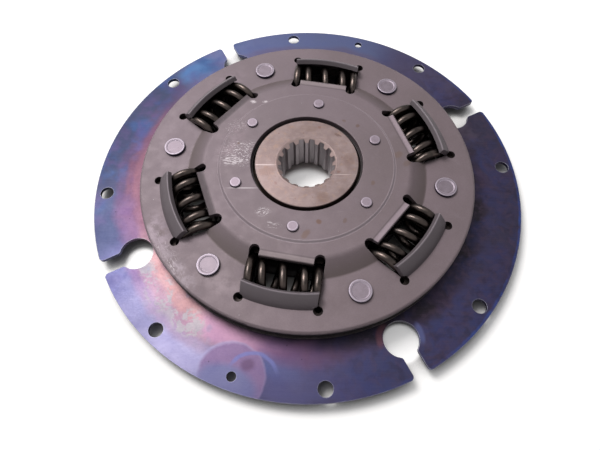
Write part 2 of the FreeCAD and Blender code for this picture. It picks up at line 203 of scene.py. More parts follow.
def makeFloor():
    mesh = bpy.data.meshes.new("studioFloor")
    half = studio["floorSize"] / 2
    corners = [(-half, -half, 0), (half, -half, 0), (half, half, 0), (-half, half, 0)]
    mesh.from_pydata(corners, [], [(0, 1, 2, 3)])
    floor = bpy.data.objects.new("studioFloor", mesh)
    bpy.context.scene.collection.objects.link(floor)
    paper = bpy.data.materials.new("whitePaper")
    paper.use_nodes = True
    tree = paper.node_tree
    shader = tree.nodes["Principled BSDF"]
    place = addNode(tree, "TexCoord").outputs["Object"]
    fibre = addNode(tree, "TexNoise", {"Vector": place, "Scale": 60.0, "Detail": 4.0}).outputs["Fac"]
    white = tint(*studio["floorTint"])
    soft = tuple(part * 0.98 for part in white[:3]) + (1.0,)
    hollow = addNode(tree, "AmbientOcclusion", {"Distance": 0.05}, samples=8).outputs["AO"]
    for spot in studio["paintedLightSpots"]:
        away = vector(tree, "DISTANCE", place, (*spot["at"], 0))["Value"]
        hollow = calc(tree, "MAXIMUM", hollow, ramp(tree, away, spot["far"], spot["near"]))
    paperTone = layer(tree, fibre, white, soft)
    # painted shade: the floor darkened where the disc hangs over it
    paintedShade = ramp(tree, hollow, 0.85, 0.15, 0.0, 0.5)
    colour = layer(tree, paintedShade, paperTone, tint(*studio["paintedShadeTint"]))
    tree.links.new(colour, shader.inputs["Base Color"])
    shader.inputs["Roughness"].default_value = 0.95
    shader.inputs["Specular IOR Level"].default_value = 0.0
    rays = addNode(tree, "LightPath").outputs
    seen = calc(tree, "ADD", rays["Is Camera Ray"], rays["Is Glossy Ray"], clamp=True)
    openFloor = ramp(tree, hollow, 0.45, 0.95)
    shader.inputs["Emission Color"].default_value = (1, 1, 1, 1)
    lift = times(tree, times(tree, seen, openFloor), studio["floorLift"])
    tree.links.new(lift, shader.inputs["Emission Strength"])
    mesh.materials.append(paper)


def makeAir():
    air = bpy.data.worlds.new("studioAir")
    air.use_nodes = True
    tree = air.node_tree
    back = tree.nodes["Background"]
    back.inputs["Color"].default_value = (1, 1, 1, 1)
    rays = addNode(tree, "LightPath").outputs
    seen = calc(tree, "ADD", rays["Is Camera Ray"], rays["Is Transmission Ray"], clamp=True)
    more = studio["airShine"] - studio["airLight"]
    shone = calc(tree, "MULTIPLY_ADD", rays["Is Glossy Ray"], more, third=studio["airLight"])
    tree.links.new(calc(tree, "MAXIMUM", seen, shone), back.inputs["Strength"])
    bpy.context.scene.world = air


def makeLamps():
    for name, lamp in studio["lamps"].items():
        data = bpy.data.lights.new(name, "AREA")
        data.shape = "SQUARE"
        data.size = lamp["size"]
        data.energy = lamp["watts"]
        data.color = tint(*lamp["tint"])[:3]
        turn, rise = math.radians(lamp["turn"]), math.radians(lamp["rise"])
        way = Vector((math.cos(rise) * math.cos(turn), math.cos(rise) * math.sin(turn), math.sin(rise)))
        holder = bpy.data.objects.new(name, data)
        aimed = way.to_track_quat("Z", "Y").to_matrix().to_4x4()
        holder.matrix_world = Matrix.Translation(way * lamp["far"]) @ aimed
        bpy.context.scene.collection.objects.link(holder)


makeFloor()
makeAir()
makeLamps()
print("floor, air and lamps set")


# shader groups that several metals share
def groupDiscPlace():
    # place on the disc in mm, with the distance from the hub axis
    gives = [("Place", "Vector"), ("Radius", "Float"), ("Height", "Float")]
    group, start, end = startGroup("discPlace", [], gives)
    place = addNode(group, "TexCoord").outputs["Object"]
    place = addNode(group, "VectorMath", {0: place, "Scale": 1000.0}, operation="SCALE").outputs[0]
    parts = addNode(group, "SeparateXYZ", {0: place}).outputs
    flat = addNode(group, "CombineXYZ", {0: parts[0], 1: parts[1]}).outputs[0]
    radius = vector(group, "LENGTH", flat)["Value"]
    return endGroup(group, end, Place=place, Radius=radius, Height=parts[2])


def groupWander():
    # place shifted by noise, so that the marks laid by it get ragged borders
    takes = [("Place", "Vector", None), ("Size", "Float", 30.0), ("Reach", "Float", 6.0)]
    group, start, end = startGroup("wander", takes, [("Place", "Vector")])
    scale = calc(group, "DIVIDE", 1.0, start["Size"])
    feeds = {"Vector": start["Place"], "Scale": scale, "Detail": 4.0}
    colour = addNode(group, "TexNoise", feeds).outputs["Color"]
    shift = vector(group, "SUBTRACT", colour, (0.5, 0.5, 0.5))[0]
    reach = times(group, start["Reach"], 2.0)
    shift = addNode(group, "VectorMath", {0: shift, "Scale": reach}, operation="SCALE").outputs[0]
    return endGroup(group, end, Place=vector(group, "ADD", start["Place"], shift)[0])


def groupSoftPatch():
    # soft oval patch on a flat face
    takes = [("Place", "Vector", None), ("Centre", "Vector", (0, 0, 0)),
             ("Half size", "Vector", (10, 10, 9999)), ("Turn", "Float", 0.0), ("Softness", "Float", 0.3)]
    group, start, end = startGroup("softPatch", takes, [("Mask", "Float")])
    turn = calc(group, "RADIANS", start["Turn"])
    spin = addNode(group, "CombineXYZ", {2: turn}).outputs[0]
    feeds = {"Vector": start["Place"], "Location": start["Centre"], "Rotation": spin,
             "Scale": start["Half size"]}
    local = addNode(group, "Mapping", feeds, vector_type="TEXTURE").outputs[0]
    reach = vector(group, "LENGTH", local)["Value"]
    inner = calc(group, "SUBTRACT", 1.0, start["Softness"])
    outer = calc(group, "ADD", 1.0, start["Softness"])
    return endGroup(group, end, Mask=ramp(group, reach, outer, inner))


def groupHeatBand():
    # part of a ring round the hub axis: a direction, its spread, a radius and a half width
    takes = [("Place", "Vector", None), ("Turn", "Float", 0.0), ("Spread", "Float", 30.0),
             ("Middle", "Float", 150.0), ("Half width", "Float", 10.0)]
    group, start, end = startGroup("heatBand", takes, [("Mask", "Float")])
    flat = vector(group, "MULTIPLY", start["Place"], (1, 1, 0))[0]
    radius = vector(group, "LENGTH", flat)["Value"]
    turn = calc(group, "RADIANS", start["Turn"])
    feeds = {0: calc(group, "COSINE", turn), 1: calc(group, "SINE", turn)}
    way = addNode(group, "CombineXYZ", feeds).outputs[0]
    ahead = vector(group, "DOT_PRODUCT", vector(group, "NORMALIZE", flat)[0], way)["Value"]
    away = calc(group, "DEGREES", calc(group, "ARCCOSINE", calc(group, "MINIMUM", ahead, 1.0)))
    sector = softEdge(group, away, start["Spread"], 0.45)
    ring = softEdge(group, offBy(group, radius, start["Middle"]), start["Half width"], 0.55)
    return endGroup(group, end, Mask=times(group, sector, ring))


def groupRingMark():
    # thin ring round a point
    takes = [("Place", "Vector", None), ("Centre", "Vector", (0, 0, 0)), ("Radius", "Float", 16.0),
             ("Half width", "Float", 1.0)]
    group, start, end = startGroup("ringMark", takes, [("Mask", "Float")])
    away = vector(group, "SUBTRACT", start["Place"], start["Centre"])[0]
    away = vector(group, "LENGTH", vector(group, "MULTIPLY", away, (1, 1, 0))[0])["Value"]
    ring = softEdge(group, offBy(group, away, start["Radius"]), start["Half width"], 0.6)
    return endGroup(group, end, Mask=ring)


def alongLines(group, start):
    # place in a frame that is turned and stretched with the lines
    spin = addNode(group, "CombineXYZ", {2: calc(group, "RADIANS", start["Turn"])}).outputs[0]
    size = {0: start["Length"], 1: start["Width"], 2: start["Width"]}
    size = addNode(group, "CombineXYZ", size).outputs[0]
    feeds = {"Vector": start["Place"], "Rotation": spin, "Scale": size}
    return addNode(group, "Mapping", feeds, vector_type="TEXTURE").outputs[0]


def groupGrain():
    # fine lines of a rolled or ground face, all one way
    takes = [("Place", "Vector", None), ("Turn", "Float", 0.0), ("Length", "Float", 12.0),
             ("Width", "Float", 0.35)]
    group, start, end = startGroup("grain", takes, [("Lines", "Float")])
    feeds = {"Vector": alongLines(group, start), "Scale": 1.0, "Detail": 3.0}
    lines = addNode(group, "TexNoise", feeds).outputs["Fac"]
    return endGroup(group, end, Lines=ramp(group, lines, 0.25, 0.75))


def groupScratches():
    # a few thin scratches, roughly one way; Amount 0 gives none
    takes = [("Place", "Vector", None), ("Turn", "Float", 0.0), ("Length", "Float", 14.0),
             ("Width", "Float", 0.5), ("Amount", "Float", 0.3), ("Scribble", "Float", 0.3)]
    group, start, end = startGroup("scratches", takes, [("Mask", "Float")])
    feeds = {"Vector": alongLines(group, start), "Scale": 1.0, "Detail": 2.0, "Distortion": start["Scribble"]}
    lines = addNode(group, "TexNoise", feeds).outputs["Fac"]
    low = calc(group, "SUBTRACT", 0.78, times(group, start["Amount"], 0.25))
    high = calc(group, "ADD", low, 0.06)
    return endGroup(group, end, Mask=ramp(group, lines, low, high))


def groupSpecks():
    # small round specks in some of the cells
    takes = [("Place", "Vector", None), ("Gap", "Float", 6.0), ("Size", "Float", 0.1),
             ("Amount", "Float", 0.4)]
    group, start, end = startGroup("specks", takes, [("Mask", "Float")])
    scale = calc(group, "DIVIDE", 1.0, start["Gap"])
    cells = addNode(group, "TexVoronoi", {"Vector": start["Place"], "Scale": scale}).outputs
    lucky = addNode(group, "SeparateColor", {0: cells["Color"]}).outputs
    chosen = calc(group, "LESS_THAN", lucky[0], start["Amount"])
    size = times(group, start["Size"], calc(group, "ADD", 0.4, lucky[1]))
    dot = ramp(group, cells["Distance"], size, times(group, size, 0.5))
    return endGroup(group, end, Mask=times(group, chosen, dot))


def groupEdgeWearAndHighlight():
    # worn outer edges with a painted edge highlight, broken up by noise
    takes = [("Place", "Vector", None), ("Width", "Float", 0.0006), ("Patchy", "Float", 0.5)]
    group, start, end = startGroup("edgeWearAndHighlight", takes, [("Mask", "Float")])
    rounded = addNode(group, "Bevel", {"Radius": start["Width"]}, samples=6).outputs[0]
    straight = addNode(group, "NewGeometry").outputs["Normal"]
    same = vector(group, "DOT_PRODUCT", rounded, straight)["Value"]
    edge = ramp(group, same, 0.99, 0.86)
    broken = noise(group, start["Place"], 5.0)["Fac"]
    broken = times(group, start["Patchy"], ramp(group, broken, 0.35, 0.65))
    broken = calc(group, "SUBTRACT", 1.0, broken)
    return endGroup(group, end, Mask=times(group, edge, broken))


def groupCornerGrimeAndShade():
    # grime and painted shade: a dark film where faces meet
    takes = [("Place", "Vector", None), ("Reach", "Float", 0.006)]
    group, start, end = startGroup("cornerGrimeAndShade", takes, [("Mask", "Float")])
    hollow = addNode(group, "AmbientOcclusion", {"Distance": start["Reach"]}, samples=8).outputs["AO"]
    grimeAndShade = ramp(group, hollow, 0.85, 0.35)
    uneven = ramp(group, noise(group, start["Place"], 7.0)["Fac"], 0.3, 0.7, 0.55, 1.0)
    return endGroup(group, end, Mask=times(group, grimeAndShade, uneven))


def groupTurnedRings():
    # fine rings left by the lathe
    takes = [("Radius", "Float", 30.0), ("Gap", "Float", 0.5)]
    group, start, end = startGroup("turnedRings", takes, [("Lines", "Float")])
    turns = calc(group, "DIVIDE", start["Radius"], start["Gap"])
    feeds = {"W": turns, "Scale": 1.0, "Detail": 2.0}
    lines = addNode(group, "TexNoise", feeds, noise_dimensions="1D").outputs["Fac"]
    return endGroup(group, end, Lines=ramp(group, lines, 0.3, 0.7))


discPlace = groupDiscPlace()
wander = groupWander()
softPatch = groupSoftPatch()
heatBand = groupHeatBand()
ringMark = groupRingMark()
grain = groupGrain()
scratches = groupScratches()
specks = groupSpecks()
edgeWearAndHighlight = groupEdgeWearAndHighlight()
cornerGrimeAndShade = groupCornerGrimeAndShade()
turnedRings = groupTurnedRings()
print("shader groups built")


# every finish starts as plain metal, and ends with its colour, roughness and relief
def startMetal(name, surface):
    metal = bpy.data.materials.new(name)
    metal.use_nodes = True
    tree = metal.node_tree
    shader = tree.nodes["Principled BSDF"]
    shader.inputs["Metallic"].default_value = surface["metallic"]
    return metal, tree, shader, useGroup(tree, discPlace)


def endMetal(tree, shader, surface, colour, dullness, height, rounding=0.0004):
    # the relief and the small rounding of the edges are in metres
    tree.links.new(colour, shader.inputs["Base Color"])
    tree.links.new(ramp(tree, dullness, 0.0, 1.0, *surface["roughness"]), shader.inputs["Roughness"])
    feeds = {"Strength": 1.0, "Distance": surface["relief"], "Height": height}
    if rounding:
        feeds["Normal"] = addNode(tree, "Bevel", {"Radius": rounding}, samples=6).outputs[0]
    tree.links.new(addNode(tree, "Bump", feeds).outputs[0], shader.inputs["Normal"])


def facing(tree):
    # how level a face lies: 1 for flat, 0 for upright
    normal = addNode(tree, "SeparateXYZ", {0: addNode(tree, "NewGeometry").outputs["Normal"]}).outputs
    return calc(tree, "ABSOLUTE", normal[2])


def lay(tree, colour, mask, share, tone):
    return layer(tree, times(tree, mask, share), colour, tint(*tone))


def wanderFrom(tree, place, size, reach):
    return useGroup(tree, wander, {"Place": place, "Size": size, "Reach": reach})["Place"]


def patchMask(tree, place, at, half, turn=0.0, soft=0.3, label=""):
    feeds = {"Place": place, "Centre": (*at, 0), "Half size": (*half, 9999), "Turn": turn, "Softness": soft}
    return useGroup(tree, softPatch, feeds, label)["Mask"]


def ringMask(tree, place, at, radius, half):
    feeds = {"Place": place, "Centre": (*at, 0), "Radius": radius, "Half width": half}
    return useGroup(tree, ringMark, feeds)["Mask"]


def scratchMask(tree, place, turn, length, width, amount, scribble=0.3):
    feeds = {"Place": place, "Turn": turn, "Length": length, "Width": width, "Amount": amount,
             "Scribble": scribble}
    return useGroup(tree, scratches, feeds)["Mask"]


def layPatches(tree, colour, place, rows, cloud=None):
    # a row is the middle, half size, turn, softness, tint and share of a patch
    for at, half, turn, soft, tone, share in rows:
        mask = patchMask(tree, place, at, half, turn, soft)
        if cloud is not None:
            mask = times(tree, mask, cloud)
        colour = lay(tree, colour, mask, share, tone)
    return colour


def laySpecks(tree, colour, place, rows):
    # a row is the gap between specks, their size, how many there are, tint and share
    for gap, size, amount, tone, share in rows:
        mask = useGroup(tree, specks, {"Place": place, "Gap": gap, "Size": size, "Amount": amount})["Mask"]
        colour = lay(tree, colour, mask, share, tone)
    return colour


def layWearAndHighlight(tree, colour, place, wearAndHighlight):
    feeds = {"Place": place, "Width": wearAndHighlight["width"], "Patchy": wearAndHighlight["patchy"]}
    mask = useGroup(tree, edgeWearAndHighlight, feeds)["Mask"]
    return lay(tree, colour, mask, wearAndHighlight["share"], wearAndHighlight["tint"])


def layGrimeAndShade(tree, colour, place, grimeAndShade, share=None):
    mask = useGroup(tree, cornerGrimeAndShade, {"Place": place, "Reach": grimeAndShade["reach"]})["Mask"]
    return lay(tree, colour, mask, grimeAndShade["share"] if share is None else share, grimeAndShade["tint"])


plateFinish = {
    "surface": {"metallic": 0.72, "roughness": (0.34, 0.56), "relief": 0.00006},
    "ground": (54, 49, 72),
    # how the borders of the heat colours wander: size and reach in mm
    "borders": {"broad": (34.0, 9.0), "small": (6.0, 1.6), "tight": (9.0, 1.2)},
    # heat colours: direction and spread in degrees, radius and half width in mm, tint, share
    "bands": [
        ("slate over the top", 118, 46, 162, 34, (87, 95, 132), 1.0),
        ("violet by the top cover", 102, 34, 148, 8, (93, 83, 109), 0.7),
        ("violet at the top right", 66, 14, 160, 30, (75, 69, 98), 0.9),
        ("grey violet by the right keyhole", 38, 6, 148, 8, (75, 66, 82), 0.8),
        ("blue on the left", 178, 27, 166, 15, (33, 40, 66), 0.95),
        ("mauve on the left", 186, 31, 153, 6, (56, 43, 68), 0.85),
        ("rose on the left", 192, 29, 145, 5, (83, 52, 68), 0.9),
        ("salmon by the left cover", 196, 26, 139, 4.5, (98, 64, 75), 0.85),
        ("sky blue by the left keyhole", 148, 6, 163, 9, (61, 99, 141), 0.8),
        ("soft blue above the left keyhole", 214, 10, 168, 14, (51, 58, 86), 0.9),
        ("plum above the left keyhole", 214, 10, 149, 8, (83, 60, 86), 0.85),
        ("periwinkle at the lower left rim", 231, 10, 167, 14, (80, 80, 117), 0.95),
        ("lavender at the lower left rim", 243, 9, 167, 14, (98, 96, 126), 0.95),
        ("pale lavender left of the tongue", 256, 9, 167, 14, (126, 122, 152), 0.95),
        ("magenta at the lower left", 233, 8, 153, 6, (99, 75, 110), 0.85),
        ("lilac at the lower left", 249, 14, 154, 7, (117, 102, 124), 0.9),
        ("rose lilac at the lower left", 246, 19, 146, 6, (124, 98, 112), 0.9),
        ("salmon by the lower left cover", 245, 22, 138, 6, (136, 103, 104), 0.95),
        ("pink mauve above the tongue", 266, 12, 140, 8, (143, 108, 132), 0.85),
        ("mauve right of the tongue", 282, 8, 139, 8, (108, 78, 108), 0.8),
        ("blue right of the tongue", 281, 5, 154, 9, (65, 84, 130), 0.8),
        ("mauve at the bottom", 292, 14, 146, 7, (91, 62, 88), 0.85),
        ("blue violet at the bottom", 290, 14, 164, 14, (70, 68, 103), 0.85),
        ("indigo at the lower right", 318, 24, 162, 18, (55, 57, 93), 0.85),
        # painted shadow of the cover on the plate at the right, partly over a maroon heat colour
        ("maroon and painted shadow by the right cover", 350, 46, 141, 7, (46, 34, 46), 0.8),
        ("shade by the lower right cover", 338, 38, 137, 6.5, (22, 17, 21), 0.85),
    ],
    "rimBand": ("blue along the right rim", 8, 50, 175.2, 1.2, (52, 74, 140), 0.85),
    # ragged clouds: middle, half size, grain in mm, tint, share, and the radius where they start, if any
    "clouds": [
        ("bright blue on the left", (-140, 30), (60, 110), 21.0, (32, 62, 106), 0.65, 150),
        ("purple on the left", (-130, 0), (70, 120), 13.0, (72, 50, 92), 0.35, 146),
        ("violet on the right", (120, 0), (110, 160), 24.0, (71, 55, 89), 0.4, 0),
        ("blue on the right", (120, 0), (110, 180), 17.0, (45, 53, 97), 0.45, 0),
        ("small dark clouds on the right", (130, 0), (90, 180), 7.0, (44, 36, 52), 0.55, 0),
        ("small brown clouds on the right", (130, 0), (90, 180), 5.0, (74, 58, 76), 0.4, 0),
        ("pale lilac at the lower left", (-70, -130), (50, 36), 9.0, (133, 126, 142), 0.12, 0),
    ],
    # mottled silver
    "bleached": [
        ((-78, -124), (24, 9), -38, 0.3, (117, 114, 119), 0.85),
        ((-46, -139), (15, 9), -16, 0.3, (124, 121, 125), 0.85),
    ],
    "dapples": {"at": (-62, -128), "half": (46, 22), "turn": -28.0, "tint": (104, 106, 126), "share": 0.4},
    "tongue": [
        ((-1, -166), (24.5, 23), 0, 0.05, (127, 121, 149), 0.7),
        ((0, -166), (23.6, 22.1), 0, 0.07, (101, 81, 112), 0.95),
        ((-2, -173), (22, 13), 0, 0.25, (85, 87, 120), 0.9),
        ((8, -156), (5, 4), 30, 0.5, (77, 55, 81), 0.7),
    ],
    "streak": {
        "at": (14, -165),
        "radius": 18.5,
        "half": 1.3,
        "shows": ((10, -150), (18, 13)),  # its upper side
        "tint": (89, 93, 140),
        "share": 0.75,
    },
    # rings left round a keyhole: the side that shows, its half size, radius, half width, tint, share
    "ghosts": [
        ((89, -107), (7, 9), 15.3, 2.2, (112, 68, 75), 0.5),
        ((119, -94), (7, 9), 15.3, 2.0, (98, 105, 151), 0.5),
    ],
    "keyhole": (104.65, -104.65),
    "grain": {"turn": 17.7, "length": 16.0, "width": 0.4, "tint": (150, 150, 172), "share": 0.02},
    "specks": [(7.0, 0.07, 0.35, (34, 30, 44), 0.7), (21.0, 0.028, 0.25, (190, 190, 205), 0.8)],
    "wearAndHighlight": {"width": 0.0008, "patchy": 0.4, "tint": (176, 176, 190), "share": 0.8},
    # painted shadow: this film also stands for the cover's shadow on the plate beside it
    "grimeAndShade": {"reach": 0.009, "tint": (26, 20, 30), "share": 0.7},
}


def layBand(tree, colour, place, band):
    label, turn, spread, middle, half, tone, share = band
    feeds = {"Place": place, "Turn": turn, "Spread": spread, "Middle": middle, "Half width": half}
    return lay(tree, colour, useGroup(tree, heatBand, feeds, label)["Mask"], share, tone)


def makeTemperedBlue():
    finish = plateFinish
    metal, tree, shader, disc = startMetal("temperedBlue", finish["surface"])
    place = disc["Place"]
    borders = finish["borders"]
    ragged = wanderFrom(tree, wanderFrom(tree, place, *borders["broad"]), *borders["small"])
    tight = wanderFrom(tree, place, *borders["tight"])
    colour = tint(*finish["ground"])
    for band in finish["bands"]:
        colour = layBand(tree, colour, ragged, band)
    colour = layBand(tree, colour, tight, finish["rimBand"])
    for label, at, half, size, tone, share, outside in finish["clouds"]:
        shape = ramp(tree, noise(tree, ragged, size, 4.0, 0.5)["Fac"], 0.42, 0.7)
        mask = times(tree, shape, patchMask(tree, place, at, half, soft=0.5, label=label))
        if outside:
            mask = times(tree, mask, ramp(tree, disc["Radius"], outside - 5, outside + 5))
        colour = lay(tree, colour, mask, share, tone)
    mottled = ramp(tree, noise(tree, ragged, 8.0, 6.0, 0.68)["Fac"], 0.47, 0.53)
    colour = layPatches(tree, colour, ragged, finish["bleached"], mottled)
    dapples = finish["dapples"]
    dots = useGroup(tree, specks, {"Place": ragged, "Gap": 9.0, "Size": 0.42, "Amount": 0.35})["Mask"]
    dots = times(tree, dots, patchMask(tree, place, dapples["at"], dapples["half"], dapples["turn"], 0.4))
    colour = lay(tree, colour, dots, dapples["share"], dapples["tint"])
    colour = layPatches(tree, colour, tight, finish["tongue"])
    streak = finish["streak"]
    arc = ringMask(tree, tight, streak["at"], streak["radius"], streak["half"])
    arc = times(tree, arc, patchMask(tree, place, *streak["shows"]))
    colour = lay(tree, colour, arc, streak["share"], streak["tint"])
    for side, half, radius, width, tone, share in finish["ghosts"]:
        ring = ringMask(tree, tight, finish["keyhole"], radius, width)
        ring = times(tree, ring, patchMask(tree, place, side, half))
        colour = lay(tree, colour, ring, share, tone)
    cloud = noise(tree, place, 17.0, 6.0, 0.6)["Fac"]
    colour = layer(tree, ramp(tree, cloud, 0.35, 0.75, 0.0, 0.22), colour, tint(150, 150, 190), "SOFT_LIGHT")
    fine = noise(tree, place, 1.6, 4.0, 0.65)["Fac"]
    colour = layer(tree, ramp(tree, fine, 0.45, 0.8, 0.0, 0.22), colour, tint(168, 166, 184), "OVERLAY")
    rolled = finish["grain"]
    feeds = {"Place": place, "Turn": rolled["turn"], "Length": rolled["length"], "Width": rolled["width"]}
    lines = useGroup(tree, grain, feeds)["Lines"]
    colour = lay(tree, colour, lines, rolled["share"], rolled["tint"])
    colour = laySpecks(tree, colour, place, finish["specks"])
    colour = layWearAndHighlight(tree, colour, place, finish["wearAndHighlight"])
    colour = layGrimeAndShade(tree, colour, place, finish["grimeAndShade"])
    dullness = calc(tree, "ADD", times(tree, cloud, 0.6), times(tree, fine, 0.4))
    height = calc(tree, "ADD", times(tree, lines, 0.12), fine)
    endMetal(tree, shader, finish["surface"], colour, dullness, height)
    return metal


coatFinish = {
    "surface": {"metallic": 0.35, "roughness": (0.48, 0.72), "relief": 0.00009},
    "ground": (124, 110, 116),
    "shade": (116, 103, 107),
    "pale": (138, 125, 132),
    # painted light: a lilac tint over the left side, towards the lamp; then the stains: middle, half size,
    # turn, softness, tint, share
    "stains": [
        ((-90, 10), (110, 130), 0, 0.7, (124, 112, 121), 0.4),
        ((25, -48), (2.2, 1.8), 0, 0.35, (104, 74, 58), 0.7),
        ((19, -60.5), (4.4, 2.2), 75, 0.35, (112, 88, 76), 0.6),
        ((29, 46), (1.6, 1.6), 0, 0.35, (98, 72, 58), 0.6),
        ((54.5, -3.4), (1.5, 2.2), 0, 0.35, (106, 82, 68), 0.5),
        ((-84, -88), (5, 3), 40, 0.35, (106, 92, 92), 0.4),
        ((67, 29.5), (4, 2.6), 60, 0.35, (112, 90, 78), 0.5),
        ((75.5, 24), (3.4, 2.4), 60, 0.35, (106, 86, 76), 0.5),
        ((17, 47.5), (1.6, 1.3), 0, 0.35, (100, 78, 66), 0.55),
        ((43, -41), (1.3, 2.2), 0, 0.35, (104, 82, 70), 0.5),
    ],
    # patch and turn, then its scratches: length, width, how many, how curly, share
    "scuffs": [
        ((-53, -9), (15, 11), 17.7, 2.6, 0.85, 0.85, 1.1, 1.0),
        ((-57, -18), (11, 3), 17.7, 5.0, 0.8, 1.0, 0.4, 0.8),
        ((-17, -53), (5, 3.4), 20, 2.2, 0.8, 1.0, 1.4, 0.7),
        ((-7, -61), (6, 2.6), 10, 3.0, 0.8, 0.9, 0.8, 0.5),
        ((-62.4, 45.1), (2.4, 1.3), 17.7, 3.0, 1.2, 1.3, 0.6, 0.9),
        ((-53, 48.1), (2.2, 1.1), 17.7, 3.0, 1.2, 1.3, 0.6, 0.8),
        ((-66, 14), (9, 7), 30, 2.0, 0.8, 0.75, 1.2, 0.6),
        ((-74, -103), (22, 5), -40, 4.0, 0.8, 0.8, 1.0, 0.5),
    ],
    "scuffTint": (208, 200, 205),
    # soft pale or dark clouds
    "smears": [
        ((-88, -90), (16, 7), -48, 0.6, (146, 132, 142), 0.8),
        ((-62, -112), (20, 6), -30, 0.6, (148, 136, 144), 0.85),
        ((-30, -112), (18, 7), -10, 0.6, (142, 128, 134), 0.6),
        ((-80, -84), (9, 5), -45, 0.6, (102, 90, 98), 0.6),
        ((-64, 4), (10, 20), 0, 0.6, (138, 122, 130), 0.6),
        ((-96, 66), (16, 9), 50, 0.6, (136, 121, 131), 0.5),
        ((60, -96), (22, 7), 32, 0.6, (110, 96, 100), 0.5),
    ],
    "thinLine": [((-39, -38.6), (11.5, 0.42), 18, 0.3, (182, 174, 178), 0.95)],
    "outerLips": {"height": 30.1, "radius": 100.0, "tint": (101, 93, 98)},
    "lipTipHighlight": {"radius": 108.5, "height": 39.46, "tint": (168, 158, 166), "share": 0.55},
    "innerLips": {
        "windows": (38, 98, 158),  # directions, each with its opposite window
        "halfLength": 21.6,
        "fold": 79.4,  # distances of the fold and the tip from the hub axis
        "tip": 83.9,
        "shadedSide": (-0.985, -0.174, 0),
        "middle": (146, 134, 136),
        "shaded": (82, 72, 77),
        "lit": (142, 127, 136),
        "edge": (66, 57, 60),
    },
    "slopeShade": {"tint": (98, 87, 86), "share": 0.7},
    "step": {
        "radius": 69.2,
        "tint": (152, 139, 146),
        "share": 0.7,
        "shadedSide": (-0.927, 0.375, 0),
        "shaded": (176, 162, 169),
    },
    "wallShade": {"height": 29.4, "tint": (40, 33, 35), "share": 0.85},
    "stray": {"turn": 24.0, "length": 10.0, "width": 0.5, "amount": 0.22},
    "strayTint": (158, 148, 154),
    "specks": [(15.0, 0.07, 0.35, (104, 78, 64), 0.5), (8.0, 0.05, 0.3, (180, 174, 178), 0.6)],  # rust, dust
    "wearAndHighlight": {"width": 0.0006, "patchy": 0.5, "tint": (156, 148, 154), "share": 0.5},
    "grimeAndShade": {"reach": 0.007, "tint": (48, 38, 38), "share": (0.05, 0.6)},  # grime and painted shade where faces meet; share at the centre, on the shelf
    "oilAndShade": {"reach": 0.03, "tint": (22, 18, 19), "share": 0.95},
}


def tellForms(tree, disc, colour):
    # lips, slope, step and walls of the pressing each get a tone: the outer lips darker, the others painted
    # shade or painted light
    place, radius, height = disc["Place"], disc["Radius"], disc["Height"]

    def towards(way):
        return vector(tree, "DOT_PRODUCT", place, way)["Value"]

    # painted shade on the slope band
    slopeShade = coatFinish["slopeShade"]
    band = times(tree, ramp(tree, radius, 80.0, 94.0, 0.1), ramp(tree, radius, 96.2, 94.8))
    colour = lay(tree, colour, band, slopeShade["share"], slopeShade["tint"])
    # painted light on the step's face, against its shade, and more on the side away from the lamp
    step = coatFinish["step"]
    off = offBy(tree, radius, step["radius"])
    colour = layer(tree, ramp(tree, off, 1.6, 0.5, 0.0, step["share"]), colour, tint(*step["tint"]))
    stepLift = ramp(tree, towards(step["shadedSide"]), 20.0, -50.0, 0.0, 0.8)
    colour = lay(tree, colour, ramp(tree, off, 1.6, 0.5), stepLift, step["shaded"])
    inner = coatFinish["innerLips"]
    along = 0.0
    for window in inner["windows"]:
        turn = math.radians(window)
        reach = towards((math.cos(turn), math.sin(turn), 0))
        along = calc(tree, "MAXIMUM", calc(tree, "ABSOLUTE", reach), along)
    square = calc(tree, "SUBTRACT", times(tree, radius, radius), times(tree, along, along))
    across = calc(tree, "SQRT", calc(tree, "MAXIMUM", square, 0.0))
    end, fold, tip = inner["halfLength"], inner["fold"], inner["tip"]
    onLip = times(tree, ramp(tree, across, end + 1, end), ramp(tree, radius, 92.0, 90.0))
    strip = times(tree, onLip, ramp(tree, along, fold, fold + 0.6))
    side = towards(inner["shadedSide"])
    colour = lay(tree, colour, strip, 0.45, inner["middle"])
    # painted shade on the lips of the windows on the shaded side, painted light on those opposite
    colour = lay(tree, colour, strip, ramp(tree, side, 15.0, 55.0, 0.0, 0.92), inner["shaded"])
    colour = lay(tree, colour, strip, ramp(tree, side, -15.0, -60.0, 0.0, 0.8), inner["lit"])
    # painted shade along the fold, and darker along the tip edge
    creaseShade = ramp(tree, offBy(tree, along, fold), 0.9, 0.3, 0.0, 0.4)
    tipEdge = ramp(tree, along, tip - 0.7, tip, 0.0, 0.75)
    colour = lay(tree, colour, onLip, calc(tree, "MAXIMUM", creaseShade, tipEdge), inner["edge"])
    outer = coatFinish["outerLips"]
    raised = ramp(tree, height, outer["height"] - 0.6, outer["height"])
    beyond = ramp(tree, radius, outer["radius"] - 1, outer["radius"])
    colour = lay(tree, colour, raised, beyond, outer["tint"])
    # painted highlight along the tip edge of the outer lips
    lipTipHighlight = coatFinish["lipTipHighlight"]
    spot = addNode(tree, "CombineXYZ", {0: radius, 1: height}).outputs[0]
    away = vector(tree, "DISTANCE", spot, (lipTipHighlight["radius"], lipTipHighlight["height"], 0))["Value"]
    colour = layer(tree, ramp(tree, away, 1.2, 0.5, 0.0, lipTipHighlight["share"]), colour, tint(*lipTipHighlight["tint"]))
    # painted shade on the upright walls below the flat top
    wallShade = coatFinish["wallShade"]
    steep = ramp(tree, facing(tree), 0.55, 0.3)
    low = ramp(tree, height, wallShade["height"], wallShade["height"] - 0.8)
    return lay(tree, colour, times(tree, steep, low), wallShade["share"], wallShade["tint"])


